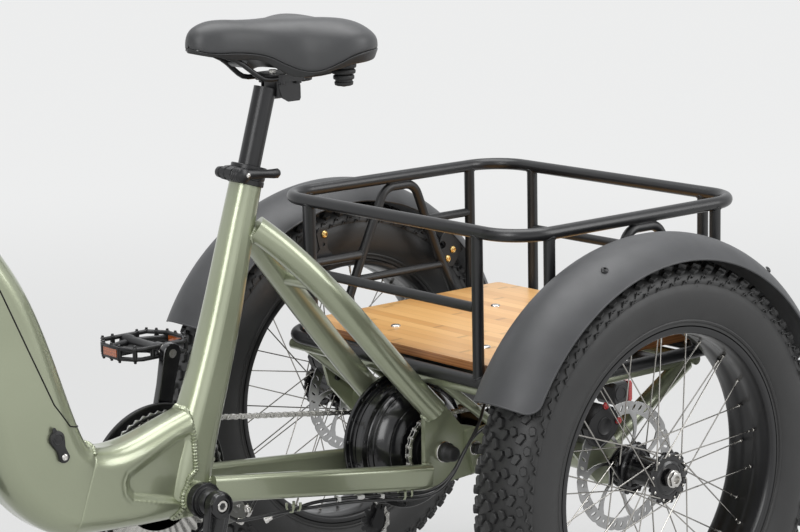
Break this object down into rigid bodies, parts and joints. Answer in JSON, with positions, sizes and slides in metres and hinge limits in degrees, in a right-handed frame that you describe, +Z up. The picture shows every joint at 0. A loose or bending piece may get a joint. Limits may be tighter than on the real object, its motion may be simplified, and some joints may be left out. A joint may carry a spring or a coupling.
{
  "type": "electric cargo tricycle",
  "caption": "Step-through electric tricycle with fat tyres, a hub motor driving the rear axle, fenders and a railed cargo basket with a bamboo deck behind the saddle",
  "frame": {"origin": "middle of the overall length and width, on the ground", "axes": "+X forward, +Y to the rider's left, +Z up"},
  "size_m": [1.7991, 0.8, 1.0636],
  "materials": {
    "frame_green": "satin",
    "basket_black": "satin",
    "fender_grey": "matt",
    "bamboo": "satin",
    "tyre_rubber": "matt",
    "rim_black": "satin",
    "spoke_steel": "bright",
    "rotor_steel": "brushed",
    "hub_black": "gloss",
    "chain_steel": "bright",
    "saddle_vinyl": "matt",
    "black_plastic": "matt",
    "black_rubber": "matt",
    "anodised_black": "satin",
    "lamp": "gloss",
    "amber_lens": "gloss",
    "red_lens": "gloss"
  },
  "bodies": {
    "frame": {"head_tube": "frame_green", "down_tube": "frame_green", "battery_cover": "frame_green", "lower_beam": "frame_green", "seat_tube": "frame_green", "bottom_bracket": "chain_steel", "dropouts": "frame_green", "chain_stays": "frame_green", "seat_stays": "frame_green", "basket_rim": "rim_black", "basket_floor": "basket_black", "basket_hoops": "basket_black", "basket_posts": "basket_black", "cargo_deck": "bamboo", "axle_tubes": "frame_green", "subframe": "frame_green", "rear_fenders": "fender_grey", "fender_brackets": "basket_black", "seat_clamp": "basket_black", "motor_axle": "chain_steel", "chains": "chain_steel", "rear_derailleur": "anodised_black", "rear_calipers": "anodised_black", "tail_light": "lamp", "charge_port_cap": "black_rubber", "brake_hoses": "black_rubber"},
    "seat": {"seat_post": "basket_black", "saddle": "saddle_vinyl", "saddle_rails": "basket_black"},
    "motor": {"hub_motor": "hub_black", "motor_sprockets": "chain_steel"},
    "differential_unit": {"differential": "hub_black"},
    "steering": {"fork": "basket_black", "stem": "basket_black", "handlebar": "basket_black", "grips": "black_rubber", "brake_levers": "anodised_black", "display": "lamp", "headlight": "lamp", "front_fender": "fender_grey", "front_caliper": "anodised_black"},
    "cranks": {"crankset": "basket_black", "chainring": "hub_black"},
    "left_pedal": {"pedal_left": "anodised_black"},
    "right_pedal": {"pedal_right": "anodised_black"},
    "rear_wheel_left": {"rear_tyre_left": "tyre_rubber", "rear_rim_left": "rim_black", "rear_spokes_left": "spoke_steel", "rear_rotor_left": "rotor_steel", "rear_hub_left": "hub_black"},
    "rear_wheel_right": {"rear_tyre_right": "tyre_rubber", "rear_rim_right": "rim_black", "rear_spokes_right": "spoke_steel", "rear_rotor_right": "rotor_steel", "rear_hub_right": "hub_black"},
    "front_wheel": {"front_tyre": "tyre_rubber", "front_rim": "rim_black", "front_spokes": "spoke_steel", "front_rotor": "rotor_steel", "front_hub": "hub_black"}
  },
  "joints": [
    {"name": "seat_height", "type": "slide", "parent": "frame", "child": "seat", "axis": [-0.289, 0, 0.9573], "range_m": [-0.07, 0.1]},
    {"name": "steering_turn", "type": "hinge", "parent": "frame", "child": "steering", "pos_m": [0.40678, 0, 0.68318], "axis": [-0.3584, 0, 0.9336], "range_deg": [-45, 45]},
    {"name": "front_wheel_spin", "type": "hinge", "parent": "steering", "child": "front_wheel", "pos_m": [0.60361, 0, 0.296], "axis": [0, 1, 0], "continuous": true},
    {"name": "rear_left_spin", "type": "hinge", "parent": "frame", "child": "rear_wheel_left", "pos_m": [-0.59139, 0.341, 0.296], "axis": [0, 1, 0], "continuous": true},
    {"name": "rear_right_spin", "type": "hinge", "parent": "frame", "child": "rear_wheel_right", "pos_m": [-0.59139, -0.341, 0.296], "axis": [0, 1, 0], "continuous": true},
    {"name": "motor_spin", "type": "hinge", "parent": "frame", "child": "motor", "pos_m": [-0.46139, 0, 0.297], "axis": [0, 1, 0], "continuous": true},
    {"name": "differential_spin", "type": "hinge", "parent": "frame", "child": "differential_unit", "pos_m": [-0.59139, 0, 0.296], "axis": [0, 1, 0], "continuous": true},
    {"name": "crank_spin", "type": "hinge", "parent": "frame", "child": "cranks", "pos_m": [-0.06439, 0, 0.304], "axis": [0, 1, 0], "continuous": true},
    {"name": "left_pedal_spin", "type": "hinge", "parent": "cranks", "child": "left_pedal", "pos_m": [-0.02562, 0.1, 0.13335], "axis": [0, 1, 0], "continuous": true},
    {"name": "right_pedal_spin", "type": "hinge", "parent": "cranks", "child": "right_pedal", "pos_m": [-0.10316, -0.1, 0.47465], "axis": [0, 1, 0], "continuous": true}
  ],
  "couplings": [
    {"joint": "differential_spin", "follows": "motor_spin", "ratio": 1}
  ]
}
